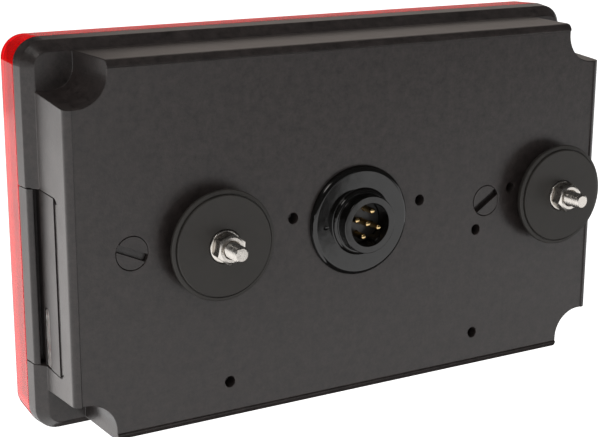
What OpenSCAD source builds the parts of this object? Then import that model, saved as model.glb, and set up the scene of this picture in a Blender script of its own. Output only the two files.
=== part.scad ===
// Rear combination lamp with a round plug socket and two mounting studs.
// Every piece is drawn with the lamp lying on its lens: x along the lamp, y up the lamp and z out of the
// back, with z = 0 on the rim of the back panel. in_place() then stands the lamp up with its lens towards +Y
// and its origin midway between the studs, on the faces of the rubber pads.

/* [Flange and body] */
// Width of the flange outline at the lens seat
flange_w = 238.5; // [230:0.5:250]
// Height of the flange outline at the lens seat
flange_h = 144.8; // [140:0.2:156]
// Corner radius of the flange outline
flange_r = 9.3; // [9:0.1:14]
// Step in from the flange outline to the side walls of the body
flange_reach = 4.2; // [3:0.1:5]
// Depth of the body, from the rim of the back panel to the flange
body_depth = 27.1; // [25:0.1:32]
// Height of the flange, from its back face to the lens seat
flange_depth = 10; // [9:0.1:12]
// Part of the flange height that is bevelled
bevel_depth = 4.4; // [3:0.1:6]
// Lean of the flange side above the bevel
flange_lean = 0.65; // [0.3:0.05:1]
// Thickness of the moulded walls
wall = 2.5; // [2:0.1:3]
// Rounding of the long back edges of the body
edge_r = 2.8; // [2:0.1:3.5]
// Depth of the sunk back panel inside its rim
panel_recess = 0.5; // [0.3:0.1:0.8]

/* [Corner recesses] */
// Size of each corner recess along both walls
recess_size = 15.7; // [13:0.1:17]
// Radius of the inner corner of each recess
recess_r = 11.5; // [8:0.1:12]
// Size of a recess at the flange as a share of its size at the back
recess_taper = 0.7; // [0.65:0.01:0.9]

/* [Lens] */
// Height of the lens, from its seat to its front face
lens_depth = 17.9; // [16:0.1:20]
// Wall thickness of the lens
lens_wall = 2.4; // [2:0.1:3]
// Rounding of the front edge of the lens
lens_r = 4; // [3:0.1:5]
// Lean of the lens wall
lens_lean = 0.65; // [0.3:0.05:1]
// Width of the foot that rests on the flange
lens_foot_w = 6.4; // [6:0.1:6.6]
// Width of the amber indicator window
amber_w = 56; // [48:0.5:58]
// Height of the amber indicator window
amber_h = 112; // [90:1:116]
// Width of the reflex reflector
reflector_w = 60; // [40:1:66]
// Height of the reflex reflector
reflector_h = 30; // [20:1:34]

/* [Studs and pads] */
// Distance between the two mounting studs
stud_spacing = 152; // [150:0.5:154]
// Distance of the stud pair's middle from the middle of the lamp
stud_shift = 16; // [14:0.5:17]
// Diameter of the studs
stud_d = 6; // [5:0.5:6]
// Length of stud beyond the face of its pad
stud_reach = 12.5; // [11:0.5:30]
// Diameter of the rubber pads
pad_d = 40.6; // [36:0.2:42]
// Height of a pad's face above the rim of the back panel
pad_h = 7.5; // [6:0.1:10]
// Diameter of the foot under a pad
pad_foot_d = 30; // [24:1:34]
// Thickness of the disc of a pad
pad_disc_t = 4.4; // [3:0.1:5]

/* [Plug socket] */
// Diameter of the socket flange
socket_flange_d = 42; // [38:0.5:44]
// Thickness of the socket flange above the rim of the back panel
socket_flange_t = 1.6; // [1.4:0.1:2.4]
// Outer diameter of the socket barrel
barrel_d = 22; // [21:0.2:23]
// Height of the barrel above the rim of the back panel
barrel_h = 8.1; // [7:0.1:10]
// Bore of the barrel, which takes the plug
barrel_bore = 16.6; // [16:0.1:17]
// Radius of the circle of four pins round the middle one
pin_circle_r = 5.1; // [4.5:0.1:5.4]
// Diameter of the pins
pin_d = 2.3; // [2:0.1:2.6]

/* [Number-plate light cover] */
// Height of the cover in the side wall
cover_h = 65.5; // [50:0.5:70]
// Height of the cover's lower end above the corner recess
cover_rise = 7.2; // [5:0.1:9]
// Depth of the cover's panel in the side wall, from the flange back face
cover_panel = 13.6; // [10:0.1:16]
// Width of the channel beside the panel
channel_w = 2.1; // [1.6:0.1:2.6]

/* [Hidden] */
$fn = 96;

// Clearances: a loose fit round screws and covers, a close fit between turned or moulded mates,
// and the overshoot of a cutting shape.
loose = 0.15;
close = 0.05;
over = 1;

// Outlines that follow from the flange
body_w = flange_w - 2 * flange_reach;
body_h = flange_h - 2 * flange_reach;
body_corner_r = flange_r - flange_reach;
seat_z = -(body_depth + flange_depth);
panel_t = wall;
panel_z = -panel_recess;
inner_z = panel_z - panel_t;
cavity_w = body_w - 2 * wall;
cavity_h = body_h - 2 * wall;
cavity_r = body_corner_r - wall;
recess_floor_t = wall;
// Point that the walls of a recess lean towards, measured in from the corner of the body
recess_apex = [10.5, 8.2];
recess_lean = (1 - recess_taper) / body_depth;

// One line across the back holds the studs, the plugs and the socket
line_y = 0.5;
stud_x = [stud_shift - stud_spacing / 2, stud_shift + stud_spacing / 2];
plug_x = [for (x = stud_x) -x];
boss_r = 8;
boss_z = inner_z - 4;
stud_r = stud_d / 2;
shank_r = stud_r - 0.325;
stud_hole_r = stud_r + 0.2;
sink_r = 6.1;
sink_depth = 2.6;

// Small cored holes in the back, each with a post behind it for a screw of the bulb tray
core_end = 59.6;
core_low = 11.7;
core_at = [
    [-28, 4.7],
    [28, 4.7],
    [72, 4.5],
    [cavity_w / 2 - core_end + wall, -10.8],
    [cavity_w / 2 - core_end + wall, -cavity_h / 2 + core_low],
    [-cavity_w / 2 + core_end - wall + 0.9, -cavity_h / 2 + core_low]
];
core_r = 2;
core_depth = 5.5;
core_post_r = 3.5;

// Bulb tray, reached over its posts
tray_z = -14;
tray_t = 2;
tray_front_z = tray_z - tray_t;
tray_w = cavity_w - 4.2;
tray_gap = 0.5;
tray_window_r = 16;
baffle_t = 1.5;
baffle_z = -50;

tray_screw_r = 1.15;
tray_screw_len = 7.5;
tray_screw_head_r = 2.7;
tray_screw_head_h = 1.8;

// Lens screws
screw_r = 2.1;
screw_head_r = 3.7;
screw_head_h = 3;
screw_post_r = 4.3;
screw_tube_r = 5.2;
screw_post_z = -34;
screw_seat_z = -38;
screw_len = 20;
window_step = 2;
window_flange_t = 1.5;
amber_x = cavity_w / 2 - 34.05;
amber_inner_x = amber_x - amber_w / 2;
reflector_y = -38;
screw_x = amber_inner_x - window_step - screw_tube_r - 1.3;
screw_y = cavity_h / 2 - screw_tube_r - 0.2;
lens_face_z = seat_z - lens_depth;
lens_inner_z = lens_face_z + lens_wall;

// Gasket groove in the flange
groove_out = 2.5;
groove_w = 2.3;
groove_depth = 1.5;

// Bulbs lie upright in front of the tray
bulb_z = -32;
holder_y = -35.6;
holder_len = 14.6;
holder_r = 8.5;
holder_bore_r = 7.75;
cap_r = 7.5;
cap_len = 16;
cap_y = -34.5;
contact_y = -36;
bulb_pin_y = -27;
bulb_r = 13.25;
small_bulb_r = 9.5;
bulb_len = 52.5;
small_bulb_len = 36;
bulb_neck = 4;
small_bulb_neck = 6;
neck_r = 7.2;
plate_light_x = -cavity_w / 2 + 14.55;
baffle_x = [plate_light_x + 14, -amber_inner_x + 5.5, amber_inner_x - 5.5];
baffle_h = [cavity_h - 13.4, 2 * (screw_y - screw_tube_r) - 1.2, 2 * (screw_y - screw_tube_r) - 1.2];
stop_tail_x = 0;
fog_x = (baffle_x[0] + baffle_x[1]) / 2;
bulb_x = [plate_light_x, fog_x, stop_tail_x, amber_x];
foot_w = 12;
foot_from = -35.8;
foot_to = -27;
foot_t = 1;
rivet_y = -32.5;
rivet_r = 1.5;
rivet_head_r = 2.8;

// Brass strips and leaves
strip_t = 0.8;
leaf_t = 0.6;
leaf_foot_y = -50;
tab_z = -9;
tab_t = 0.8;
leaf_at = [[plate_light_x, 5], [fog_x, 5], [stop_tail_x - 2.7, 3.6], [stop_tail_x + 2.7, 3.6], [amber_x, 5]];
earth_tab_x = -14;
earth_strip_w = 8;
feed_strip_w = 4;
feed_strip_y = -43.5;

// Socket
pin_turn = -22;
insert_face_z = 1.2;
pin_tip_z = 7.2;
socket_end_z = -8;
insert_end_z = -9.2;
tail_end_z = -12;
tail_r = 0.9;
spigot_r = 12;
insert_r = barrel_bore / 2 - close;
pin_at = concat([[0, 0]], [for (i = [0:3]) pin_circle_r * [cos(pin_turn + 90 * i), sin(pin_turn + 90 * i)]]);
seal_r = 14.6;
seal_w = 2.3;
seal_h = 1.05;
nut_t = 4;
nut_af = 32;
lead_z = -10.6;
lead_r = 1;
// A straight run ends a little inside the bends, which are a hair thicker
lead_bend_r = 3;
lead_lap = 0.2;
lead_step = 0.02;
ferrule_h = 2.4;
ferrule_wall = 0.6;
// Points where the leads turn on their way from the pins
earth_turn = [-9.2, -3.4];
tail_turn = [10, -4];
amber_turns = [[5, 11], [16, 8]];
fog_turn = [-10, 4.5];
lead_drop = 5;

// Stud hardware
washer_r = 6;
washer_t = 1.6;
washer_seat = 1.2;
nut_h = 5;
nut_turns = [18, -14];
plug_turns = [-24, 33];
hex_af = 10;
head_h = 4;
end_chamfer = 0.7;
pad_r = pad_d / 2;
pad_chamfer_r = 1.8;
pad_chamfer_h = 1;

// Number-plate light cover
cover_bottom = -body_h / 2 + recess_size + cover_rise;
cover_top = cover_bottom + cover_h;
cover_edge_z = -(body_depth - cover_panel);
cover_relief_w = 2.6;
cover_relief_depth = 0.45;
cover_relief_r = 2.2;
cover_slot_h = 22.5;
cover_slot_w = 5;
pane_t = 1.5;
pane_margin = 4;

// Colours
BLACK = [0.13, 0.13, 0.13];
GLOSS_BLACK = [0.07, 0.07, 0.07];
RUBBER = [0.19, 0.18, 0.17];
RED = [0.78, 0.06, 0.08];
AMBER = [0.95, 0.5, 0.08];
CLEAR = [0.8, 0.85, 0.88];
STEEL = [0.8, 0.78, 0.75];
BRASS = [0.78, 0.62, 0.3];
WHITE = [0.9, 0.9, 0.88];

// Stands the lamp up and moves it to its own frame
module in_place() {
    translate([-stud_shift, pad_h, -line_y])
        rotate([90, 0, 0])
            children();
}

// Rounded plate as exact pieces: a cross of two slabs and four round corners
module rounded_plate(w, h, r, t) {
    translate([-w / 2 + r, -h / 2, 0])
        cube([w - 2 * r, h, t]);
    translate([-w / 2, -h / 2 + r, 0])
        cube([w, h - 2 * r, t]);
    for (sx = [-1, 1], sy = [-1, 1])
        translate([sx * (w / 2 - r), sy * (h / 2 - r), 0])
            cylinder(h = t, r = r);
}

// Carries a flat profile round a rounded rectangle. In the profile, x is the distance out from the
// outline and y is the height.
module sweep_around(w, h, r) {
    for (sx = [0, 1], sy = [0, 1])
        mirror([sx, 0, 0])
            mirror([0, sy, 0])
                translate([w / 2 - r, h / 2 - r, 0])
                    rotate_extrude(angle = 90)
                        translate([r, 0])
                            children();
    for (sy = [0, 1])
        mirror([0, sy, 0])
            translate([-w / 2 + r, h / 2, 0])
                rotate([90, 0, 90])
                    linear_extrude(w - 2 * r)
                        children();
    for (sx = [0, 1])
        mirror([sx, 0, 0])
            translate([w / 2, h / 2 - r, 0])
                rotate([90, 0, 0])
                    linear_extrude(h - 2 * r)
                        children();
}

module at_corners() {
    for (sx = [0, 1], sy = [0, 1])
        mirror([sx, 0, 0])
            mirror([0, sy, 0])
                children();
}

// Flat shape of one recess, grown by "grow", drawn from the point its walls lean towards
module recess_shape(grow) {
    middle = recess_apex - (recess_size - recess_r) * [1, 1];
    out = 2 * recess_size;
    r = recess_r + grow;
    translate(middle)
        circle(r, $fn = 64);
    translate([middle[0] - r, middle[1]])
        square([out + r, out]);
    translate([middle[0], middle[1] - r])
        square([out, out + r]);
}

// Recess between two heights, as a leaning prism
module recess(from_z, to_z, grow = 0) {
    base = 1 + recess_lean * from_z;
    tip = 1 + recess_lean * to_z;
    translate([body_w / 2 - recess_apex[0], body_h / 2 - recess_apex[1], from_z])
        mirror([0, 0, 1])
            linear_extrude(from_z - to_z, scale = tip / base)
                scale(base)
                    recess_shape(grow);
}

// Removes the sharp edge along x at the top of a wall whose outer face is y = 0 and whose top is z = 0
module edge_rounding(length) {
    translate([-length / 2, -edge_r, -edge_r])
        rotate([90, 0, 90])
            linear_extrude(length)
                difference() {
                    square(edge_r + over);
                    circle(edge_r);
                }
}

module body_block() {
    difference() {
        translate([-body_w / 2, -body_h / 2, -body_depth])
            cube([body_w, body_h, body_depth]);
        for (turn = [0, 180])
            rotate([0, 0, turn]) {
                translate([0, body_h / 2, 0])
                    edge_rounding(body_w + 2 * over);
                rotate([0, 0, 90])
                    translate([0, body_w / 2, 0])
                        edge_rounding(body_h + 2 * over);
            }
        translate([-body_w / 2 + edge_r, -body_h / 2 + edge_r, panel_z])
            cube([body_w - 2 * edge_r, body_h - 2 * edge_r, over]);
        at_corners()
            recess(over, -body_depth - over);
    }
    translate([0, 0, seat_z])
        rounded_plate(body_w, body_h, body_corner_r, flange_depth);
}

module flange_ring() {
    inner = -(flange_reach + wall / 2);
    sweep_around(flange_w, flange_h, flange_r)
        polygon([
            [inner, seat_z],
            [0, seat_z],
            [-flange_lean, -body_depth - bevel_depth],
            [-flange_reach, -body_depth],
            [inner, -body_depth]
        ]);
}

module cavity() {
    difference() {
        translate([0, 0, seat_z - over])
            rounded_plate(cavity_w, cavity_h, cavity_r, inner_z - seat_z + over);
        at_corners()
            recess(0, -body_depth - recess_floor_t, wall);
    }
}

module groove() {
    sweep_around(flange_w, flange_h, flange_r)
        translate([-groove_out - groove_w, seat_z - over])
            square([groove_w, groove_depth + over]);
}

module screw_places() {
    for (sx = [-1, 1], sy = [-1, 1])
        translate([sx * screw_x, sy * screw_y, 0])
            children();
}

module boss_places() {
    for (x = concat(stud_x, plug_x))
        translate([x, line_y, 0])
            children();
}

// Opening in the side wall and flange for the cover
module cover_opening() {
    translate([-flange_w / 2 - over, cover_bottom, seat_z - over])
        cube([(flange_w - cavity_w) / 2 + over, cover_h, cover_edge_z - seat_z + over]);
}

// Sloped relief in the side wall beside the cover, with round corners on the side away from it
module cover_relief() {
    intersection() {
        translate([0, cover_bottom + cover_h, 0])
            rotate([90, 0, 0])
                linear_extrude(cover_h)
                    polygon([
                        [-body_w / 2 - over, cover_edge_z - over],
                        [-body_w / 2 + cover_relief_depth, cover_edge_z - over],
                        [-body_w / 2 + cover_relief_depth, cover_edge_z],
                        [-body_w / 2, cover_edge_z + cover_relief_w],
                        [-body_w / 2 - over, cover_edge_z + cover_relief_w]
                    ]);
        translate([-body_w / 2 - over, cover_bottom + cover_h / 2, cover_edge_z])
            rotate([90, 0, 90])
                rounded_plate(cover_h, 2 * cover_relief_w, cover_relief_r, 3 * over);
    }
}

module housing() {
    color(BLACK)
        difference() {
            union() {
                difference() {
                    union() {
                        body_block();
                        flange_ring();
                    }
                    cavity();
                }
                boss_places()
                    translate([0, 0, boss_z])
                        cylinder(h = panel_z - boss_z - wall / 2, r = boss_r);
                screw_places()
                    translate([0, 0, screw_post_z])
                        cylinder(h = panel_z - screw_post_z - wall / 2, r = screw_post_r);
                for (at = core_at)
                    translate([at[0], at[1], tray_z])
                        cylinder(h = panel_z - tray_z - wall / 2, r = core_post_r);
            }
            boss_places() {
                translate([0, 0, boss_z - over])
                    cylinder(h = over - boss_z + over, r = stud_hole_r);
                translate([0, 0, panel_z - sink_depth])
                    cylinder(h = sink_depth + over, r = sink_r);
            }
            translate([0, line_y, inner_z - over])
                cylinder(h = panel_t + 2 * over, r = spigot_r + loose);
            for (at = core_at)
                translate([at[0], at[1], 0]) {
                    translate([0, 0, panel_z - core_depth])
                        cylinder(h = core_depth + over, r = core_r);
                    translate([0, 0, tray_z - over])
                        cylinder(h = over + tray_screw_len - tray_t + 0.5, r = tray_screw_r + close);
                }
            screw_places()
                translate([0, 0, screw_post_z - over])
                    cylinder(h = screw_len + over, r = screw_r - 0.5);
            groove();
            cover_opening();
            cover_relief();
        }
}

// Section of the cover: side panel, channel and the cover's own length of flange
module cover_section() {
    wall_x = body_w / 2;
    out_x = flange_w / 2;
    back_x = cavity_w / 2 + 0.2;
    channel_x = wall_x + 1.5;
    channel_z = -body_depth + 1.6;
    web_z = seat_z + wall;
    polygon([
        [-wall_x, cover_edge_z - loose],
        [-back_x, cover_edge_z - loose],
        [-back_x, seat_z],
        [-out_x, seat_z],
        [-out_x + flange_lean, -body_depth - bevel_depth],
        [-channel_x, -body_depth - 1],
        [-channel_x, web_z],
        [-channel_x + channel_w, web_z],
        [-channel_x + channel_w, channel_z],
        [-wall_x, channel_z + 0.4]
    ]);
}

module plate_light_cover() {
    length = cover_h - 2 * loose;
    color(BLACK)
        difference() {
            translate([0, cover_top - loose, 0])
                rotate([90, 0, 0])
                    linear_extrude(length)
                        cover_section();
            groove();
            // Light slot, open at the foot and beside the channel, with a round top
            translate([-body_w / 2 - over, cover_bottom - over, -body_depth - 0.4])
                cube([wall + 2 * over, cover_slot_h - cover_slot_w / 2 + over, cover_slot_w]);
            translate([-body_w / 2 - over, cover_bottom + cover_slot_h - cover_slot_w / 2,
                -body_depth - 0.4 + cover_slot_w / 2])
                rotate([0, 90, 0])
                    cylinder(h = wall + 2 * over, d = cover_slot_w);
        }
}

module plate_light_pane() {
    low = cover_bottom - pane_margin + 0.7;
    high = cover_top + pane_margin;
    color(CLEAR, 0.6)
        translate([-cavity_w / 2, low, seat_z + 0.3])
            cube([pane_t, high - low, cover_edge_z - seat_z + pane_margin / 2]);
}

// Stepped hole or plate of a window in the lens front
module window_at(x, y, w, h, t) {
    translate([x - w / 2, y - h / 2, lens_face_z])
        cube([w, h, t]);
}

module lens() {
    arc_z = lens_face_z + lens_r;
    inner_r = lens_r - lens_wall;
    arc_x = -lens_lean - lens_r;
    edge = arc_x - 3;
    color(RED, 0.85)
        difference() {
            union() {
                sweep_around(flange_w, flange_h, flange_r)
                    polygon(concat(
                        [[-lens_foot_w, seat_z], [0, seat_z]],
                        [for (a = [0:15:90]) [arc_x + lens_r * cos(a), arc_z - lens_r * sin(a)]],
                        [[edge, lens_face_z], [edge, lens_inner_z]],
                        [for (a = [90:-30:0]) [arc_x + inner_r * cos(a), arc_z - inner_r * sin(a)]],
                        [[-lens_wall - 0.2, seat_z - lens_wall], [-lens_foot_w, seat_z - lens_wall]]
                    ));
                translate([0, 0, lens_face_z])
                    rounded_plate(flange_w + 2 * edge + 0.2, flange_h + 2 * edge + 0.2,
                        flange_r + edge + 0.1, lens_wall);
                screw_places()
                    translate([0, 0, lens_face_z + lens_wall / 2])
                        cylinder(h = screw_post_z - lens_face_z - lens_wall / 2, r = screw_tube_r);
            }
            screw_places() {
                translate([0, 0, lens_face_z - over])
                    cylinder(h = screw_seat_z - lens_face_z + over, r = screw_head_r + 0.3);
                translate([0, 0, lens_face_z])
                    cylinder(h = screw_post_z - lens_face_z + over, r = screw_r + loose);
            }
            translate([0, 0, -over])
                window_at(amber_x, 0, amber_w, amber_h, lens_wall + 2 * over);
            translate([0, 0, -over])
                window_at(0, reflector_y, reflector_w, reflector_h, lens_wall + 2 * over);
        }
}

// Window let into the lens from behind, with a step that seats on the inside of the lens
module window_piece(x, y, w, h) {
    window_at(x, y, w - 2 * loose, h - 2 * loose, lens_wall + window_flange_t);
    translate([0, 0, lens_wall])
        window_at(x, y, w + 2 * window_step, h + 2 * window_step, window_flange_t);
}

module amber_window() {
    color(AMBER, 0.8)
        window_piece(amber_x, 0, amber_w, amber_h);
}

module reflex_reflector() {
    color(RED)
        window_piece(0, reflector_y, reflector_w, reflector_h);
}

module lens_gasket() {
    color(RUBBER)
        sweep_around(flange_w, flange_h, flange_r)
            translate([-groove_out - groove_w + close, seat_z])
                square([groove_w - 2 * close, groove_depth]);
}

// Screw with its head down at z = 0 and its shank up
module pan_screw(r, length, head_r, head_h) {
    translate([0, 0, -head_h])
        cylinder(h = head_h, r1 = head_r - 0.6, r2 = head_r);
    cylinder(h = length - r, r = r);
    translate([0, 0, length - r])
        cylinder(h = r, r1 = r, r2 = 0.4);
}

module lens_screws() {
    pilot = screw_r - 0.5;
    color(STEEL)
        screw_places()
            difference() {
                translate([0, 0, screw_seat_z])
                    pan_screw(pilot - close, screw_len, screw_head_r, screw_head_h);
                translate([-screw_head_r, -0.5, screw_seat_z - screw_head_h - over])
                    cube([2 * screw_head_r, 1, 1.2 + over]);
            }
}

module tray_outline() {
    free_w = body_w - 2 * (recess_size + wall + tray_gap);
    free_h = body_h - 2 * (recess_size + wall + tray_gap);
    square([tray_w, free_h], center = true);
    square([free_w, cavity_h - 2 * tray_gap], center = true);
}

module bulb_carrier() {
    color(WHITE)
        difference() {
            union() {
                translate([0, 0, tray_front_z])
                    linear_extrude(tray_t)
                        tray_outline();
                for (i = [0:2])
                    translate([baffle_x[i] - baffle_t / 2, -baffle_h[i] / 2, baffle_z])
                        cube([baffle_t, baffle_h[i], tray_z - baffle_z]);
            }
            translate([0, 0, tray_front_z - over])
                linear_extrude(tray_t + 2 * over) {
                    for (sx = [-1, 1], sy = [-1, 1])
                        translate([sx * screw_x, sy * screw_y])
                            circle(screw_post_r + tray_gap);
                    translate([0, line_y])
                        circle(tray_window_r);
                    for (at = core_at)
                        translate(at)
                            circle(1.5);
                    for (x = bulb_x)
                        translate([x, rivet_y])
                            circle(rivet_r + close);
                    for (at = leaf_at)
                        translate([at[0], leaf_foot_y + tab_t / 2])
                            square([at[1] + 2 * loose, tab_t + 2 * loose], center = true);
                }
        }
}

module carrier_screws() {
    color(STEEL)
        for (at = core_at)
            translate([at[0], at[1], tray_front_z])
                pan_screw(tray_screw_r, tray_screw_len, tray_screw_head_r, tray_screw_head_h);
}

module holder(x) {
    color(BRASS)
        translate([x, 0, 0])
            difference() {
                union() {
                    translate([0, holder_y, bulb_z])
                        rotate([-90, 0, 0])
                            cylinder(h = holder_len, r = holder_r);
                    // Web and riveted foot
                    translate([-foot_w / 3, foot_to - foot_t, bulb_z + holder_bore_r + 0.3])
                        cube([foot_w * 2 / 3, foot_t, tray_front_z - bulb_z - holder_bore_r - 0.3]);
                    translate([-foot_w / 2, foot_from, tray_front_z - foot_t])
                        cube([foot_w, foot_to - foot_from, foot_t]);
                }
                translate([0, holder_y - over, bulb_z])
                    rotate([-90, 0, 0])
                        cylinder(h = holder_len + 2 * over, r = holder_bore_r);
                // Bayonet slots for the bulb's two side pins
                translate([-holder_r - over, bulb_pin_y - 1.2, bulb_z - 1.2])
                    cube([2 * (holder_r + over), holder_len, 2.4]);
                translate([0, rivet_y, tray_front_z - foot_t - over])
                    cylinder(h = foot_t + 2 * over, r = rivet_r + close);
            }
}

module holder_stop_tail() {
    holder(stop_tail_x);
}

module holder_indicator() {
    holder(amber_x);
}

module holder_fog() {
    holder(fog_x);
}

module holder_plate_light() {
    holder(plate_light_x);
}

// Bulb as one sealed piece: metal cap with side pins and foot contacts, and its glass
module bulb(x, glass_r, length, contacts, neck_low) {
    top = contact_y + length;
    middle = top - glass_r;
    waist = middle - neck_low;
    waist_r = sqrt(glass_r * glass_r - neck_low * neck_low);
    color(CLEAR)
        translate([x, 0, bulb_z])
            rotate([-90, 0, 0]) {
                translate([0, 0, middle])
                    sphere(glass_r);
                translate([0, 0, cap_y + cap_len])
                    cylinder(h = waist - cap_y - cap_len, r1 = neck_r, r2 = waist_r);
                translate([0, 0, cap_y])
                    cylinder(h = cap_len, r = cap_r);
                translate([-cap_r - 1, 0, bulb_pin_y])
                    rotate([0, 90, 0])
                        cylinder(h = 2 * cap_r + 2, r = 1);
                for (cx = contacts)
                    translate([cx, 0, contact_y])
                        cylinder(h = cap_y - contact_y, r1 = 1.3, r2 = 1.7);
            }
}

module bulb_stop_tail() {
    bulb(stop_tail_x, bulb_r, bulb_len, [-2.7, 2.7], bulb_neck);
}

module bulb_indicator() {
    bulb(amber_x, bulb_r, bulb_len, [0], bulb_neck);
}

module bulb_fog() {
    bulb(fog_x, bulb_r, bulb_len, [0], bulb_neck);
}

module bulb_plate_light() {
    bulb(plate_light_x, small_bulb_r, small_bulb_len, [0], small_bulb_neck);
}

// Sprung leaf that bears on a bulb's foot, its foot on the tray and its tab through the tray
module leaf(x, w) {
    translate([x - w / 2, contact_y - leaf_t, bulb_z - 3])
        cube([w, leaf_t, tray_front_z - bulb_z + 3]);
    translate([x - w / 2, leaf_foot_y, tray_front_z - leaf_t])
        cube([w, contact_y - leaf_foot_y, leaf_t]);
    translate([x - w / 2, leaf_foot_y, tray_front_z - leaf_t])
        cube([w, tab_t, tab_z - tray_front_z + leaf_t]);
}

module feed_contacts() {
    color(BRASS)
        for (at = leaf_at)
            leaf(at[0], at[1]);
}

module earth_strip() {
    from_x = plate_light_x - foot_w / 2;
    to_x = amber_x + foot_w / 2;
    tab_y = rivet_y + earth_strip_w / 2;
    color(BRASS)
        difference() {
            union() {
                translate([from_x, rivet_y - earth_strip_w / 2, tray_z])
                    cube([to_x - from_x, earth_strip_w, strip_t]);
                translate([earth_tab_x - feed_strip_w / 2, tab_y - tab_t, tray_z])
                    cube([feed_strip_w, tab_t, tab_z - tray_z]);
            }
            for (x = bulb_x)
                translate([x, rivet_y, tray_z - over])
                    cylinder(h = strip_t + 2 * over, r = rivet_r + close);
        }
}

// Strip that joins the tail feed to the number-plate light
module plate_feed_strip() {
    ends = [leaf_at[0], leaf_at[3]];
    from_x = ends[0][0] - feed_strip_w / 2;
    to_x = ends[1][0] + 1.5;
    color(BRASS) {
        translate([from_x, feed_strip_y, tray_z])
            cube([to_x - from_x, feed_strip_w, strip_t]);
        for (at = ends)
            translate([at[0] - 1.5, leaf_foot_y + tab_t, tray_z])
                cube([3, feed_strip_y - leaf_foot_y - tab_t + feed_strip_w / 2, strip_t]);
    }
}

module holder_rivets() {
    front = tray_front_z - foot_t;
    back = tray_z + strip_t;
    color(BRASS)
        for (x = bulb_x)
            translate([x, rivet_y, 0]) {
                translate([0, 0, front])
                    cylinder(h = back - front, r = rivet_r);
                translate([0, 0, front - 1])
                    cylinder(h = 1, r1 = rivet_head_r - 0.6, r2 = rivet_head_r);
                translate([0, 0, back])
                    cylinder(h = 1, r1 = rivet_head_r, r2 = rivet_head_r - 0.6);
            }
}

function unit(v) = v / norm(v);

function turn_angle(a, b) = atan2(a[0] * b[1] - a[1] * b[0], a[0] * b[0] + a[1] * b[1]);

// Round bend between two straight runs that point along "a" and "b" and would meet at "corner"
module lead_bend(corner, a, b) {
    turn = turn_angle(a, b);
    side = sign(turn);
    trim = lead_bend_r * tan(abs(turn) / 2);
    middle = corner - trim * a + side * lead_bend_r * [-a[1], a[0]];
    start = side > 0 ? corner - trim * a - middle : corner + trim * b - middle;
    translate([middle[0], middle[1], lead_z])
        rotate([0, 0, atan2(start[1], start[0])])
            rotate_extrude(angle = abs(turn))
                translate([lead_bend_r, 0])
                    circle(lead_r + lead_step);
}

// Insulated lead through a row of points behind the tray, with a ferrule on the pin tail at its first point
module lead(points) {
    last = len(points) - 2;
    way = [for (i = [0:last]) unit(points[i + 1] - points[i])];
    trim = [for (i = [1:1:last]) lead_bend_r * tan(abs(turn_angle(way[i - 1], way[i])) / 2)];
    for (i = [0:last]) {
        before = i == 0 ? 0 : trim[i - 1] - lead_lap;
        after = i == last ? 0 : trim[i] - lead_lap;
        from = points[i] + before * way[i];
        translate([from[0], from[1], lead_z])
            rotate([0, 90, atan2(way[i][1], way[i][0])])
                cylinder(h = norm(points[i + 1] - points[i]) - before - after, r = lead_r);
    }
    for (i = [1:1:last])
        lead_bend(points[i], way[i - 1], way[i]);
    translate([points[0][0], points[0][1], lead_z - ferrule_h / 2])
        cylinder(h = ferrule_h, r = tail_r + ferrule_wall);
}

// Last two points of a lead, straight above its tab
function drop(x) = [[x, leaf_foot_y + tab_t + lead_drop], [x, leaf_foot_y + tab_t]];

module socket_leads() {
    tab_y = leaf_foot_y + tab_t;
    earth_y = rivet_y + earth_strip_w / 2;
    middle = [0, line_y];
    pins = [for (at = pin_at) middle + at];
    color([0.25, 0.2, 0.18])
        difference() {
            union() {
                lead([pins[0], earth_turn, [earth_tab_x, earth_y + lead_drop], [earth_tab_x, earth_y]]);
                lead(concat([pins[1], tail_turn], drop(leaf_at[3][0])));
                lead(concat([pins[2]], amber_turns, drop(leaf_at[4][0])));
                lead(concat([pins[3], fog_turn], drop(leaf_at[1][0])));
                lead([pins[4], [pins[4][0], tab_y]]);
            }
            for (at = pins)
                translate([at[0], at[1], tail_end_z - over])
                    cylinder(h = 4, r = tail_r + close);
        }
}

module socket_body() {
    round_r = 1.9;
    flange_r2 = socket_flange_d / 2;
    collar_r = barrel_d / 2 + 1.1;
    collar_z = socket_flange_t + 1.8;
    color(GLOSS_BLACK)
        translate([0, line_y, 0]) {
            difference() {
                union() {
                    rotate_extrude() {
                        translate([0, panel_z])
                            square([flange_r2 - round_r, socket_flange_t - panel_z]);
                        intersection() {
                            translate([flange_r2 - round_r, socket_flange_t - round_r])
                                circle(round_r);
                            translate([0, panel_z])
                                square([flange_r2, socket_flange_t - panel_z]);
                        }
                    }
                    cylinder(h = collar_z, r = collar_r);
                    cylinder(h = barrel_h - 0.6, r = barrel_d / 2);
                    translate([0, 0, barrel_h - 0.6])
                        cylinder(h = 0.6, r1 = barrel_d / 2, r2 = barrel_d / 2 - 0.6);
                    translate([0, 0, socket_end_z])
                        cylinder(h = -socket_end_z, r = spigot_r);
                }
                translate([0, 0, socket_end_z - over])
                    cylinder(h = barrel_h - socket_end_z + 2 * over, d = barrel_bore);
                // Seal groove under the flange
                translate([0, 0, panel_z - over])
                    difference() {
                        cylinder(h = seal_h + over, r = seal_r + seal_w);
                        translate([0, 0, -over])
                            cylinder(h = seal_h + 3 * over, r = seal_r);
                    }
                // Small dimple left by the mould
                translate([-15.3, -1.2, socket_flange_t - 0.5])
                    cylinder(h = 1, r = 1.3);
            }
            // Key that lines the plug up
            rotate([0, 0, -58])
                translate([barrel_bore / 2 - 0.9, -1.3, insert_face_z])
                    cube([1.2, 2.6, barrel_h - 1.2 - insert_face_z]);
        }
}

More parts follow.
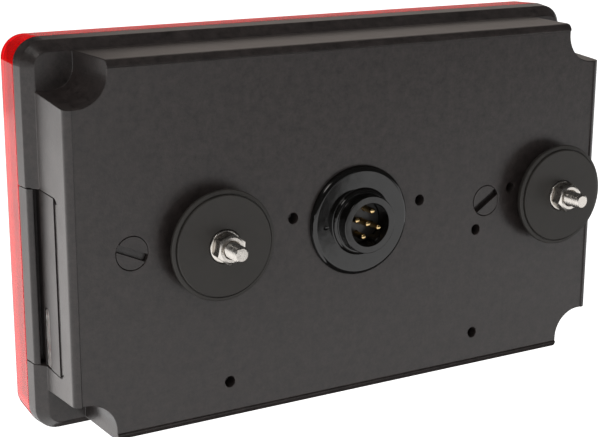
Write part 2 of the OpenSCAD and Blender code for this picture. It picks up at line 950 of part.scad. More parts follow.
module socket_insert() {
    color(BLACK)
        translate([0, line_y, 0])
            difference() {
                union() {
                    translate([0, 0, socket_end_z])
                        cylinder(h = insert_face_z - socket_end_z - close, r = insert_r);
                    translate([0, 0, insert_end_z])
                        cylinder(h = socket_end_z - insert_end_z, r = insert_r + 2);
                }
                for (at = pin_at)
                    translate([at[0], at[1], insert_end_z - over])
                        cylinder(h = insert_face_z - insert_end_z + 2 * over, d = pin_d + 2 * close);
            }
}

module socket_pins() {
    color(BRASS)
        translate([0, line_y, 0])
            for (at = pin_at)
                translate([at[0], at[1], 0]) {
                    translate([0, 0, insert_end_z])
                        cylinder(h = pin_tip_z - pin_d / 2 - insert_end_z, d = pin_d);
                    translate([0, 0, pin_tip_z - pin_d / 2])
                        sphere(d = pin_d);
                    translate([0, 0, tail_end_z])
                        cylinder(h = insert_end_z - tail_end_z, r = tail_r);
                }
}

module socket_seal() {
    color(RUBBER)
        translate([0, line_y, panel_z])
            difference() {
                cylinder(h = seal_h, r = seal_r + seal_w - close);
                translate([0, 0, -over])
                    cylinder(h = seal_h + 2 * over, r = seal_r + close);
            }
}

module socket_nut() {
    color(GLOSS_BLACK)
        translate([0, line_y, inner_z - nut_t])
            difference() {
                cylinder(h = nut_t, r = nut_af / 2 / cos(30), $fn = 6);
                translate([0, 0, -over])
                    cylinder(h = nut_t + 2 * over, r = spigot_r + close);
            }
}

module pad(x) {
    disc_z = pad_h - pad_disc_t;
    color(RUBBER)
        translate([x, line_y, 0])
            difference() {
                union() {
                    translate([0, 0, panel_z])
                        cylinder(h = disc_z - panel_z, d = pad_foot_d);
                    translate([0, 0, disc_z])
                        cylinder(h = pad_disc_t - pad_chamfer_h, r = pad_r);
                    translate([0, 0, pad_h - pad_chamfer_h])
                        cylinder(h = pad_chamfer_h, r1 = pad_r, r2 = pad_r - pad_chamfer_r);
                    translate([0, 0, panel_z - sink_depth])
                        cylinder(h = sink_depth, r = sink_r - close);
                }
                translate([0, 0, panel_z - sink_depth - over])
                    cylinder(h = pad_h + 5, r = stud_r + close);
                translate([0, 0, pad_h - washer_seat])
                    cylinder(h = washer_seat + over, r = washer_r + loose);
            }
}

module pad_left() {
    pad(stud_x[0]);
}

module pad_right() {
    pad(stud_x[1]);
}

// Stud with a reduced shank, as thick as its thread's pitch diameter, up to the nut's outer face
module stud(x) {
    free_z = pad_h - washer_seat + washer_t + nut_h;
    end_z = pad_h + stud_reach - end_chamfer;
    color(STEEL)
        translate([x, line_y, 0]) {
            translate([0, 0, boss_z - head_h])
                cylinder(h = head_h, r = hex_af / 2 / cos(30), $fn = 6);
            translate([0, 0, boss_z])
                cylinder(h = free_z - boss_z, r = shank_r);
            translate([0, 0, free_z])
                cylinder(h = end_z - free_z, r = stud_r);
            translate([0, 0, end_z])
                cylinder(h = end_chamfer, r1 = stud_r, r2 = stud_r - end_chamfer);
        }
}

module stud_left() {
    stud(stud_x[0]);
}

module stud_right() {
    stud(stud_x[1]);
}

module stud_washers() {
    color(STEEL)
        for (x = stud_x)
            translate([x, line_y, pad_h - washer_seat])
                difference() {
                    cylinder(h = washer_t, r = washer_r);
                    translate([0, 0, -over])
                        cylinder(h = washer_t + 2 * over, r = stud_r + 0.2);
                }
}

// Hexagon nut with its corners turned off at both ends
module hex_nut(turn) {
    corner_r = hex_af / 2 / cos(30);
    taper = 0.6;
    difference() {
        intersection() {
            rotate([0, 0, turn])
                cylinder(h = nut_h, r = corner_r, $fn = 6);
            rotate_extrude()
                polygon([[0, 0], [hex_af / 2, 0], [corner_r + 0.1, taper], [corner_r + 0.1, nut_h - taper],
                    [hex_af / 2, nut_h], [0, nut_h]]);
        }
        translate([0, 0, -over])
            cylinder(h = nut_h + 2 * over, r = shank_r + close);
    }
}

module stud_nuts() {
    color(STEEL)
        for (i = [0, 1])
            translate([stud_x[i], line_y, pad_h - washer_seat + washer_t])
                hex_nut(nut_turns[i]);
}

// Slotted plug pressed into an unused stud position
module hole_plug(x, turn) {
    slot_w = 2.8;
    slot_depth = 1.9;
    lip = 0.4;
    color(BLACK)
        translate([x, line_y, 0])
            difference() {
                union() {
                    translate([0, 0, panel_z - sink_depth])
                        cylinder(h = sink_depth, r = sink_r - loose);
                    translate([0, 0, boss_z])
                        cylinder(h = panel_z - boss_z - sink_depth / 2, r = stud_hole_r - close);
                    translate([0, 0, boss_z - lip])
                        cylinder(h = lip, r = stud_hole_r + lip);
                    translate([0, 0, boss_z - 3 * lip])
                        cylinder(h = 2 * lip, r1 = stud_hole_r - lip, r2 = stud_hole_r + lip);
                }
                rotate([0, 0, turn])
                    translate([-sink_r, -slot_w / 2, panel_z - slot_depth])
                        cube([2 * sink_r, slot_w, slot_depth + over]);
            }
}

module plug_left() {
    hole_plug(plug_x[1], plug_turns[0]);
}

module plug_right() {
    hole_plug(plug_x[0], plug_turns[1]);
}

in_place() housing();
in_place() plate_light_cover();
in_place() plate_light_pane();
in_place() lens();
in_place() amber_window();
in_place() reflex_reflector();
in_place() lens_gasket();
in_place() lens_screws();
in_place() bulb_carrier();
in_place() carrier_screws();
in_place() holder_stop_tail();
in_place() holder_indicator();
in_place() holder_fog();
in_place() holder_plate_light();
in_place() bulb_stop_tail();
in_place() bulb_indicator();
in_place() bulb_fog();
in_place() bulb_plate_light();
in_place() feed_contacts();
in_place() earth_strip();
in_place() plate_feed_strip();
in_place() holder_rivets();
in_place() socket_leads();
in_place() socket_body();
in_place() socket_insert();
in_place() socket_pins();
in_place() socket_seal();
in_place() socket_nut();
in_place() pad_left();
in_place() pad_right();
in_place() stud_left();
in_place() stud_right();
in_place() stud_washers();
in_place() stud_nuts();
in_place() plug_left();
in_place() plug_right();
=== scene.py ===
"""Looks of a rear combination lamp, built around its CAD frame."""

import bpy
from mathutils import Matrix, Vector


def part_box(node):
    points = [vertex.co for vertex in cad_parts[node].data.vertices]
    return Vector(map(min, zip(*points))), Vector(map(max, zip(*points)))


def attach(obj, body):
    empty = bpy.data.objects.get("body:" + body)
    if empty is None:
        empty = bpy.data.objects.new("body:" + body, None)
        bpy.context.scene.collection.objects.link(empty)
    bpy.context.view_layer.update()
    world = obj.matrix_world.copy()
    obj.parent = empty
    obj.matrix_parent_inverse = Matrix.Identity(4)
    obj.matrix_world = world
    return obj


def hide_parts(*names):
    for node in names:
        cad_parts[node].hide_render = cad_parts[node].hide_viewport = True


bl_info = {
    "name": "Rear combination lamp",
    "version": (1, 0, 0),
    "blender": (4, 5, 0),
    "location": "View3D > Sidebar > Rear lamp",
    "description": "Finishes the CAD parts of a rear combination lamp and adds its detailed pieces",
    "category": "Object",
}

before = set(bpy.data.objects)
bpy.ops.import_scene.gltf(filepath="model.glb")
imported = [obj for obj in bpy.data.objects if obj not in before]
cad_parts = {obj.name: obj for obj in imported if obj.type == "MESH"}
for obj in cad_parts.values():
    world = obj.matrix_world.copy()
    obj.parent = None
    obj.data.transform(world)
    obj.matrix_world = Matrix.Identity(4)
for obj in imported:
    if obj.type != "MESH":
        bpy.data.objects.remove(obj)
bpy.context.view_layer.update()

import math

import bmesh
import bpy
from bpy.props import FloatProperty, FloatVectorProperty, IntProperty, PointerProperty
from mathutils import Matrix, Vector

# Lamp measures are in millimetres, as in the CAD. "Out" is the distance out of the flat back.
MM = 0.001
# Row y of the flat back, which is also how far the pads' faces stand out of it.
PLATE_Y = 7.5
# Places along the lamp of the socket and of the two studs.
SOCKET_X = -16.0
STUD_X = (-76.0, 76.0)
# Radius of the circle of the four outer pins, and its turn in degrees.
PIN_CIRCLE = 5.1
PIN_TURN = -22.0
# Row y of the bulbs, and how far the studs' line lies above the lamp's middle.
BULB_Y = 39.5
STUD_LINE = 0.5


# Shape helpers

def outward(x, out, z):
    """Point of the row frame, in metres, from millimetres along, out of the back, and up."""
    return Vector((x * MM, (PLATE_Y - out) * MM, z * MM))


def arc(centre, radius, start, end, steps):
    """Points of an arc in the plane of an outline, from one angle to another in degrees."""
    angles = [math.radians(start + (end - start) * i / steps) for i in range(steps + 1)]
    return [(centre[0] + radius * math.cos(a), centre[1] + radius * math.sin(a)) for a in angles]


def rounded(corners, steps=5):
    """Outline with each corner (r, out, rounding) turned into a small arc of that radius."""
    points = []
    count = len(corners)
    for i, (r, out, radius) in enumerate(corners):
        if radius <= 0:
            points.append((r, out))
            continue
        here = Vector((r, out))
        before = (Vector(corners[i - 1][:2]) - here).normalized()
        after = (Vector(corners[(i + 1) % count][:2]) - here).normalized()
        half = before.angle(after) / 2
        reach = radius / math.tan(half)
        middle = here + (before + after).normalized() * radius / math.sin(half)
        first = here + before * reach - middle
        last = here + after * reach - middle
        for k in range(steps + 1):
            ray = first.lerp(last, k / steps).normalized() * radius
            points.append(tuple(middle + ray))
    return points


def round_vert(bm, centre, r, a, t):
    """Point of a mesh at a radius and an angle about a line out of the back, whose place is (x, z)."""
    return bm.verts.new(outward(centre[0] + r * math.cos(a), t, centre[1] + r * math.sin(a)))


def join_rings(bm, rings):
    """Faces between each ring of points and the next. A ring of one point is a pole."""
    for a, b in zip(rings, rings[1:]):
        n = max(len(a), len(b))
        for i in range(n if n > 1 else 0):
            j = (i + 1) % n
            kept = []
            for v in (a[i % len(a)], a[j % len(a)], b[j % len(b)], b[i % len(b)]):
                if v not in kept:
                    kept.append(v)
            bm.faces.new(kept)


def turned(bm, outline, centre, up=False, segments=96, closed=True):
    """Turns an outline of (radius, distance) points about a line out of the back, or an upright line.

    A point with no radius is a pole. The centre is (x, z) in mm, or (x, y) for an upright line."""
    rings = []
    for r, t in outline:
        ring = []
        for i in range(1 if r < 1e-6 else segments):
            a = 2 * math.pi * i / segments
            u, v = centre[0] + r * math.cos(a), centre[1] + r * math.sin(a)
            ring.append(bm.verts.new(Vector((u * MM, v * MM, t * MM)) if up else outward(u, t, v)))
        rings.append(ring)
    join_rings(bm, rings + rings[:1] if closed else rings)


def prism(outline, place, start, end):
    """Straight bar with a closed outline, from start to end. "place" turns (u, v, w) into a point."""
    bm = bmesh.new()
    rings = [[bm.verts.new(place(u, v, w)) for u, v in outline] for w in (start, end)]
    join_rings(bm, rings)
    bm.faces.new(list(reversed(rings[0])))
    bm.faces.new(rings[1])
    return bm


def block(size, place):
    """Box of a size in metres, put in its place by a matrix."""
    bm = bmesh.new()
    bmesh.ops.create_cube(bm, size=1.0)
    bmesh.ops.transform(bm, matrix=place @ Matrix.Diagonal((*size, 1)), verts=bm.verts)
    return bm


def tube(bm, path, radius, sides=12):
    """Round bar or wire along a path of points in metres."""
    rings = []
    side = (path[1] - path[0]).normalized().orthogonal().normalized()
    for i, here in enumerate(path):
        before = path[max(i - 1, 0)]
        after = path[min(i + 1, len(path) - 1)]
        way = (after - before).normalized()
        side = (side - way * side.dot(way)).normalized()
        other = way.cross(side)
        ring = []
        for k in range(sides):
            a = 2 * math.pi * k / sides
            ring.append(bm.verts.new(here + radius * (math.cos(a) * side + math.sin(a) * other)))
        rings.append(ring)
    join_rings(bm, rings)
    bm.faces.new(rings[0])
    bm.faces.new(rings[-1])


def new_object(name, bm):
    """Object in the scene that takes over a mesh."""
    mesh = bpy.data.meshes.new(name)
    bm.to_mesh(mesh)
    bm.free()
    thing = bpy.data.objects.new(name, mesh)
    bpy.context.scene.collection.objects.link(thing)
    return thing


def finished(name, bm, material, stands_for=(), sharp=35.0):
    """Makes a piece from a mesh: normals, smooth shading with sharp creases, its material and body, and
    hides the CAD nodes it stands for.
    """
    bmesh.ops.recalc_face_normals(bm, faces=bm.faces)
    piece = new_object(name, bm)
    piece.data.materials.append(material)
    piece.data.shade_smooth()
    piece.data.set_sharp_from_angle(angle=math.radians(sharp))
    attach(piece, "root")
    if stands_for:
        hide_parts(*stands_for)
    return piece


def combined(target, cutter, operation):
    """Cuts a tool mesh out of a mesh, or joins the two, and gives back the result."""
    for bm in (target, cutter):
        bmesh.ops.recalc_face_normals(bm, faces=bm.faces)
    solid, tool = new_object("target", target), new_object("tool", cutter)
    change = solid.modifiers.new("change", "BOOLEAN")
    change.object = tool
    change.operation = operation
    change.solver = "EXACT"
    graph = bpy.context.evaluated_depsgraph_get()
    result = bmesh.new()
    result.from_object(solid, graph)
    for thing in (solid, tool):
        mesh = thing.data
        bpy.data.objects.remove(thing)
        bpy.data.meshes.remove(mesh)
    return result


def bevelled(part, width, angle):
    """Rounds the edges that are sharper than an angle in degrees, and gives back the modifier."""
    edge = part.modifiers.new("Edges", "BEVEL")
    edge.width = width
    edge.segments = 2
    edge.limit_method = "ANGLE"
    edge.angle_limit = math.radians(angle)
    return edge


def level_faces(part):
    """Lets large flat faces keep their own normals next to rounded edges."""
    normals = part.modifiers.new("Normals", "WEIGHTED_NORMAL")
    normals.weight = 100
    normals.keep_sharp = True


def softened(part, width):
    """Rounds the sharp edges of a CAD node with modifiers, its mesh untouched."""
    weld_reach, flat_angle, edge_angle = 2e-6, 0.2, 30
    weld = part.modifiers.new("Weld", "WELD")
    weld.merge_threshold = weld_reach
    flat = part.modifiers.new("Flat faces", "DECIMATE")
    flat.decimate_type = "DISSOLVE"
    flat.angle_limit = math.radians(flat_angle)
    bevelled(part, width, edge_angle).use_clamp_overlap = False
    level_faces(part)


def dressed(node, material, width=0.0):
    """Gives a CAD node its material and, where a width is given, rounded edges."""
    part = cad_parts[node]
    part.data.materials.clear()
    part.data.materials.append(material)
    if width > 0:
        softened(part, width)


# Materials

def shade(colour, factor):
    """Lighter or darker version of a colour."""
    return tuple(min(1.0, c * factor) for c in colour[:3])


def add_node(tree, kind, inputs):
    """Adds a node whose inputs are linked to the sockets, or set to the values, that are given."""
    node = tree.nodes.new(kind)
    for name, value in inputs.items():
        if isinstance(value, bpy.types.NodeSocket):
            tree.links.new(value, node.inputs[name])
        else:
            node.inputs[name].default_value = value
    return node


class Surface:
    """Procedural material on a Principled shader, textured in object coordinates."""

    def __init__(self, name, ior=1.5):
        self.material = bpy.data.materials.new(name)
        self.material.use_nodes = True
        self.tree = self.material.node_tree
        self.inputs = self.tree.nodes["Principled BSDF"].inputs
        self.inputs["IOR"].default_value = ior
        self.where = self.tree.nodes.new("ShaderNodeTexCoord").outputs["Object"]

    def noise(self, size, detail=3.0, roughness=0.5):
        """Noise whose features are about as large as the size given in metres."""
        inputs = {"Vector": self.where, "Scale": 1 / size, "Detail": detail, "Roughness": roughness}
        return add_node(self.tree, "ShaderNodeTexNoise", inputs).outputs["Fac"]

    def spread(self, name, value, low, high, start=0.3, end=0.7):
        """Sets a shader input between low and high, as a texture value goes from start to end."""
        inputs = {"Value": value, "From Min": start, "From Max": end, "To Min": low, "To Max": high}
        node = add_node(self.tree, "ShaderNodeMapRange", inputs)
        self.tree.links.new(node.outputs["Result"], self.inputs[name])

    def mottle(self, value, colour, darker, lighter, start=0.35, end=0.65):
        """Varies the colour between a darker and a lighter shade by a texture value."""
        ramp = add_node(self.tree, "ShaderNodeValToRGB", {"Fac": value})
        low, high = ramp.color_ramp.elements
        low.position, high.position = start, end
        low.color = (*shade(colour, darker), 1)
        high.color = (*shade(colour, lighter), 1)
        self.tree.links.new(ramp.outputs["Color"], self.inputs["Base Color"])

    def bump(self, *heights):
        """Chains bumps onto the shader, each a (texture value, strength, depth in metres)."""
        normal = {}
        for value, strength, depth in heights:
            inputs = {"Height": value, "Strength": strength, "Distance": depth, **normal}
            normal = {"Normal": add_node(self.tree, "ShaderNodeBump", inputs).outputs["Normal"]}
        self.tree.links.new(normal["Normal"], self.inputs["Normal"])


def moulded_plastic(name, colour, roughness, grain=0.00035, grain_depth=0.00004, variation=0.5):
    """Moulded plastic with a fine spark-eroded grain and slow changes of colour and gloss."""
    surface = Surface(name, 1.54)
    surface.mottle(surface.noise(0.004, 6.0, 0.85), colour, 1 - variation, 1 + variation)
    surface.spread("Roughness", surface.noise(0.008, 4.0, 0.6), roughness * 0.94, roughness * 1.07)
    flow = surface.noise(0.02, 2.0)
    coarse = surface.noise(grain * 2.6, 2.0)
    fine = surface.noise(grain, 2.0)
    surface.bump((flow, 0.3, 0.00008), (coarse, 0.5, grain_depth * 1.6), (fine, 0.5, grain_depth))
    return surface.material


def gloss_plastic(name, colour, roughness):
    """Polished moulded plastic with faint flow marks."""
    surface = Surface(name, 1.53)
    surface.mottle(surface.noise(0.02), colour, 0.8, 1.25)
    marks = surface.noise(0.004, 5.0, 0.7)
    surface.spread("Roughness", marks, roughness * 0.7, roughness * 1.5)
    surface.bump((surface.noise(0.006, 2.0), 0.35, 0.00006))
    return surface.material


def soft_rubber(name, colour, roughness):
    """Moulded rubber, matt, with a powdery bloom and fine pitting."""
    surface = Surface(name)
    bloom = surface.noise(0.006, 6.0, 0.65)
    surface.mottle(bloom, colour, 0.82, 1.3, 0.3, 0.75)
    surface.spread("Roughness", bloom, roughness * 0.92, min(1.0, roughness * 1.1))
    waves, pits = surface.noise(0.009), surface.noise(0.0004, 3.0, 0.6)
    surface.bump((waves, 0.5, 0.0002), (pits, 0.6, 0.00003))
    return surface.material


def clear_resin(name, colour, roughness, ripple_size, ripple_depth, ior=1.49, cloudy=False):
    """Transparent lamp plastic in one colour, with a slight ripple, and with cloudy spots where asked."""
    surface = Surface(name, ior)
    surface.mottle(surface.noise(0.02, 2.0), colour, 0.94, 1.06)
    surface.spread("Roughness", surface.noise(0.005, 4.0), roughness * 0.8, roughness * 1.3)
    surface.bump((surface.noise(ripple_size, 2.0), 0.5, ripple_depth))
    surface.inputs["Transmission Weight"].default_value = 1.0
    if cloudy:
        surface.spread("Transmission Weight", surface.noise(0.0013, 4.0, 0.7), 0.0, 0.9, 0.4, 0.6)
    return surface.material


def plated_metal(name, colour, roughness, wear=0.25):
    """Metal with mottled plating, fine scratches and slightly uneven gloss."""
    surface = Surface(name)
    cloud = surface.noise(0.0025, 5.0, 0.65)
    surface.mottle(cloud, colour, 1 - wear, 1 + wear * 0.4, 0.3, 0.7)
    surface.spread("Roughness", cloud, roughness * 0.75, roughness * 1.35)
    surface.bump((surface.noise(0.0006, 4.0, 0.7), 0.4, 0.00001))
    surface.inputs["Metallic"].default_value = 1.0
    return surface.material


# Settings

def colour_setting(label, note, value):
    """Colour a user may change."""
    return FloatVectorProperty(name=label, description=note, default=value, min=0.0, max=1.0, size=3,
                               subtype="COLOR")


def length_setting(label, note, value, low, high):
    """Length a user may change, in metres."""
    return FloatProperty(name=label, description=note, default=value, min=low, max=high,
                         subtype="DISTANCE", unit="LENGTH", precision=5)


def share_setting(label, note, value):
    """Share from none to all that a user may change."""
    return FloatProperty(name=label, description=note, default=value, min=0.0, max=1.0, subtype="FACTOR")


def power_setting(label, note, value):
    """Power of a lamp that a user may change, in watts."""
    return FloatProperty(name=label, description=note, default=value, min=0.0, max=200.0,
                         subtype="POWER", unit="POWER")


class HousingSettings(bpy.types.PropertyGroup):
    """Looks of the black housing, the cover with its pane, and the two slotted plugs."""

    colour: colour_setting("Housing colour", "Colour of the black plastic", (0.035, 0.0278, 0.0262))
    roughness: share_setting("Roughness", "How dull the moulded surface is", 0.34)
    edge: length_setting("Edge rounding", "Rounding of the moulded edges", 0.0003, 0.0, 0.001)
    cover_edge: length_setting("Cover edge rounding", "Rounding of the cover's edges", 0.0002, 0.0, 0.001)
    pane_colour: colour_setting("Pane colour", "Tint of the number-plate light pane", (0.66, 0.65, 0.62))


class LensSettings(bpy.types.PropertyGroup):
    """Looks and optics of the lens and the windows in it."""

    red: colour_setting("Lens red", "Colour of the red lens", (0.7, 0.002, 0.004))
    amber: colour_setting("Amber", "Colour of the indicator window", (0.95, 0.33, 0.02))
    reflector: colour_setting("Reflector red", "Colour of the reflector", (0.62, 0.008, 0.014))
    pillow: length_setting("Pillow pitch", "Width of one optic pillow", 0.0052, 0.002, 0.02)
    pillow_rise: length_setting("Pillow rise", "Height of the middle of a pillow", 0.0006, 0.0001, 0.002)
    prism: length_setting("Prism pitch", "Width of one corner prism", 0.0025, 0.001, 0.01)
    edge: length_setting("Edge rounding", "Rounding of the lens edges", 0.00025, 0.0, 0.001)


class SocketSettings(bpy.types.PropertyGroup):
    """Looks of the plug socket."""

    gloss: colour_setting("Socket colour", "Colour of the polished socket", (0.006, 0.0055, 0.005))
    insert: colour_setting("Insert colour", "Colour of the insulator", (0.016, 0.0145, 0.0135))
    pin: colour_setting("Pin colour", "Colour of the brass pins", (0.83, 0.6, 0.29))
    rim_round: length_setting("Rim rounding", "Rounding of the flange's outer edge", 0.0019, 0.0005, 0.002)


class FixingSettings(bpy.types.PropertyGroup):
    """Looks of the rubber pads, the studs, the washers and the nuts."""

    rubber: colour_setting("Rubber colour", "Colour of the two pads", (0.038, 0.034, 0.03))
    steel: colour_setting("Steel colour", "Colour of the zinc plating", (0.74, 0.7, 0.65))
    thread_pitch: length_setting("Thread pitch", "Pitch of the stud thread", 0.001, 0.0005, 0.002)
    pad_round: length_setting("Pad rounding", "Rounding of the edges of a pad", 0.0004, 0.0001, 0.0009)


class LightUnitSettings(bpy.types.PropertyGroup):
    """Looks of the tray, the bulbs and their contacts."""

    tray: colour_setting("Tray colour", "Colour of the white tray behind the lens", (0.8, 0.8, 0.77))
    brass: colour_setting("Brass colour", "Colour of the brass parts", (0.76, 0.55, 0.26))
    glass: colour_setting("Glass tint", "Tint of the bulb glass", (0.98, 0.98, 0.97))
    sheath: colour_setting("Lead colour", "Colour of the lead insulation", (0.09, 0.075, 0.065))
    coil_turns: IntProperty(name="Filament turns", description="Turns of wire in a filament",
                            default=14, min=4, max=40)


class StageSettings(bpy.types.PropertyGroup):
    """Floor, lights and camera."""

    floor_drop: length_setting("Floor drop", "How far the floor is below the studs' line", 0.34, 0.1, 2.0)
    left_light: power_setting("Left light", "Power of the light on the floor behind the left end", 5.8)
    right_light: power_setting("Right light", "Power of the light behind the right end", 1.2)
    corner_light: power_setting("Corner light", "Power of the small light above the left end", 1.4)
    room: share_setting("Room light", "Level of the even light from all round", 0.5)
    # The flag colour is also the colour of the painted floor shadow right of the lamp.
    flag: colour_setting("Flag colour", "Colour of the dark studio cards, seen in gloss", (0.1, 0.1, 0.1))
    card: colour_setting("Card colour", "Colour of the grey card seen in the lens", (0.6, 0.57, 0.53))
    focal: FloatProperty(name="Focal length", description="Focal length of the camera in millimetres",
                         default=84.747, min=20.0, max=300.0, subtype="DISTANCE_CAMERA", unit="CAMERA")


SETTINGS = {
    "rear_lamp_housing": HousingSettings,
    "rear_lamp_lens": LensSettings,
    "rear_lamp_socket": SocketSettings,
    "rear_lamp_fixings": FixingSettings,
    "rear_lamp_lights": LightUnitSettings,
    "rear_lamp_stage": StageSettings,
}


# Housing, cover and pane. Measures in mm.

# How far the outer face of the cover's side panel lies inside its left end.
PANEL_INSET = 4.2


def box_mm(node):
    """The two corners of a node's box, in mm."""
    return [[value / MM for value in corner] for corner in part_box(node)]


def sideways(out, z, x):
    """Point for a bar that runs along the lamp."""
    return outward(x, out, z)


def slot_outline(foot, gap=0.0):
    """Outline (out, z) of the light slot with its round top, made smaller all round by a gap."""
    width, height, below_back = 5.0, 22.35, 8.85
    half = width / 2
    _, y, low = box_mm("plate_light_cover")[0]
    near, top = PLATE_Y - y - below_back, low + height
    sides = [(near - width + gap, foot), (near - gap, foot)]
    return sides + arc((near - half, top - half), half - gap, 0, 180, 16)


def make_pane(material):
    """Pane behind the slot, with a block on it that fills the slot almost up to the panel's face."""
    gap, above_foot, sunk, joint = 0.4, 0.1, 0.4, 0.3
    left, _, foot = box_mm("plate_light_cover")[0]
    low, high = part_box("plate_light_pane")
    plate = block(high - low, Matrix.Translation((low + high) / 2))
    outline = slot_outline(foot + above_foot, gap)
    filling = prism(outline, sideways, left + PANEL_INSET + sunk, low.x / MM + joint)
    pane = combined(plate, filling, "UNION")
    finished("light_pane", pane, material, ["plate_light_pane"])


def make_cover(material, edge):
    """Cover with its side panel, the channel, its length of flange and the light slot."""
    (left, back_y, low), (inner, front_y, high) = box_mm("plate_light_cover")
    bend, panel_round, below_bend, channel_width = 2.05, 0.8, 1.3, 2.1
    back, front = PLATE_Y - back_y, PLATE_Y - front_y + 0.3
    wall, bend_out = left + PANEL_INSET, back - 17.85
    channel, floor = wall - 1.5, bend_out - below_bend
    outline = [(wall, back), (inner, back), (inner, front), (left + 0.05, front)]
    outline += arc((channel, bend_out), bend, 180, 90, 8)
    outline += [(channel, floor), (channel + channel_width, floor)]
    outline += arc((wall + panel_round, bend_out + 4.1), panel_round, 270, 180, 5)
    body = prism(outline, outward, low, high)
    slot = prism(slot_outline(low - 1), sideways, wall - 0.7, inner + 1)
    cover = combined(body, slot, "DIFFERENCE")
    piece = finished("light_cover", cover, material, ["plate_light_cover"])
    bevelled(piece, edge, 50).harden_normals = True


class REARLAMP_OT_housing(bpy.types.Operator):
    """Finish the housing, the number-plate light cover with its pane, and the two slotted plugs"""

    bl_idname = "rear_lamp.housing"
    bl_label = "Housing and cover"

    def execute(self, context):
        values = context.scene.rear_lamp_housing
        colour, roughness = values.colour, values.roughness
        black = moulded_plastic("housing_plastic", colour, roughness)
        cover = moulded_plastic("cover_plastic", shade(colour, 0.95), roughness * 1.04)
        plug = moulded_plastic("plug_plastic", shade(colour, 0.9), roughness * 0.9)
        dressed("housing", black, values.edge)
        plug_edge = 0.00006
        for node in ("plug_left", "plug_right"):
            dressed(node, plug, plug_edge)
        pane = clear_resin("textured_pane", values.pane_colour, 0.3, 0.0014, 0.0006, cloudy=True)
        make_pane(pane)
        make_cover(cover, values.cover_edge)
        return {"FINISHED"}


# Lens and windows. Measures in metres.

# Room between an optic and the face that it lies on.
OPTIC_GAP = 0.00002


def pillow_sheet(region, face_y, pitch, rise, thickness, keep=None):
    """Sheet of pillow optics on the inside of a window, left out where "keep" says no."""
    bm = bmesh.new()
    x0, z0, x1, z1 = region
    columns = max(1, round((x1 - x0) / pitch))
    rows = max(1, round((z1 - z0) / pitch))
    fine = 6
    wide, high = (x1 - x0) / columns, (z1 - z0) / rows
    held = {(i, j) for i in range(columns) for j in range(rows)
            if keep is None or keep(x0 + (i + 0.5) * wide, z0 + (j + 0.5) * high, max(wide, high) / 2)}
    front, back = {}, {}

    def corner(store, a, b, inward):
        if (a, b) not in store:
            x, z = x0 + a * wide / fine, z0 + b * high / fine
            u, v = (a % fine) / fine * 2 - 1, (b % fine) / fine * 2 - 1
            dome = (1 - u * u) * (1 - v * v) if inward else 0
            y = face_y - (thickness + rise * dome if inward else 0)
            store[(a, b)] = bm.verts.new((x, y, z))
        return store[(a, b)]

    for i, j in sorted(held):
        a0, a1, b0, b1 = i * fine, (i + 1) * fine, j * fine, (j + 1) * fine
        for a in range(a0, a1):
            for b in range(b0, b1):
                ring = ((a, b), (a + 1, b), (a + 1, b + 1), (a, b + 1))
                bm.faces.new([corner(front, *at, True) for at in ring])
        edge = [(a, b0) for a in range(a0, a1)] + [(a1, b) for b in range(b0, b1)]
        edge += [(a, b1) for a in range(a1, a0, -1)] + [(a0, b) for b in range(b1, b0, -1)]
        bm.faces.new([corner(back, *at, False) for at in reversed(edge)])
    for i, j in sorted(held):
        for di, dj in ((0, -1), (1, 0), (0, 1), (-1, 0)):
            if (i + di, j + dj) in held:
                continue
            for k in range(fine):
                if dj:
                    b = (j + (dj > 0)) * fine
                    p, q = (i * fine + k, b), (i * fine + k + 1, b)
                else:
                    a = (i + (di > 0)) * fine
                    p, q = (a, j * fine + k), (a, j * fine + k + 1)
                bm.faces.new([front[p], front[q], back[q], back[p]])
    return bm


def corner_prisms(region, face_y, pitch, base):
    """Plate of three-sided corner prisms, as on the inside of a reflector."""
    bm = bmesh.new()
    x0, z0, x1, z1 = region
    side = pitch / math.sqrt(3)
    rows = int((z1 - z0) / (side * 1.5))
    columns = int((x1 - x0) / pitch)
    deep = pitch / math.sqrt(6)
    low = face_y - base
    shared = {}

    def rim_point(x, z, sunk, kind):
        key = (round(x * 1e6), round(z * 1e6), kind)
        if key not in shared:
            shared[key] = bm.verts.new((x, sunk, z))
        return shared[key]

    for row in range(rows):
        cz = z0 + side * (1 + 1.5 * row)
        for column in range(columns - row % 2):
            cx = x0 + pitch * (0.5 + column + 0.5 * (row % 2))
            tip = bm.verts.new((cx, low - deep, cz))
            ring = []
            for k in range(6):
                a = math.radians(30 + 60 * k)
                sunk = low - (deep / 3 if k % 2 else 2 * deep / 3) * 0.5
                ring.append(rim_point(cx + side * math.cos(a), cz + side * math.sin(a), sunk, k % 2))
            for k in (0, 2, 4):
                bm.faces.new([tip, ring[k], ring[(k + 1) % 6], ring[(k + 2) % 6]])
            foot = [bm.verts.new((v.co.x, face_y, v.co.z)) for v in ring]
            bm.faces.new(list(reversed(foot)))
            for k in range(6):
                bm.faces.new([ring[k], ring[(k + 1) % 6], foot[(k + 1) % 6], foot[k]])
    return bm


def screw_places():
    """Middles of the four lens screws, from the CAD."""
    low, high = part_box("lens_screws")
    head_r = 0.0037
    return [Vector((x, low.y, z)) for x in (low.x + head_r, high.x - head_r)
            for z in (low.z + head_r, high.z - head_r)]


def window_back(node):
    """Flat part of a small window inside its rim, and the row y just behind it."""
    rim = 0.0012
    low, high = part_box(node)
    return (low.x + rim, low.z + rim, high.x - rim, high.z - rim), low.y - OPTIC_GAP


def off_other_parts():
    """Gives the test that keeps pillows off the reflector and off the tubes of the lens screws."""
    low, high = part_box("reflex_reflector")
    tubes, tube_r, room = screw_places(), 0.0056, 0.0004

    def keep(x, z, half):
        reach = half + room
        if low.x - reach < x < high.x + reach and low.z - reach < z < high.z + reach:
            return False
        return all(max(0, abs(x - p.x) - half) ** 2 + max(0, abs(z - p.z) - half) ** 2 >= tube_r ** 2
                   for p in tubes)

    return keep


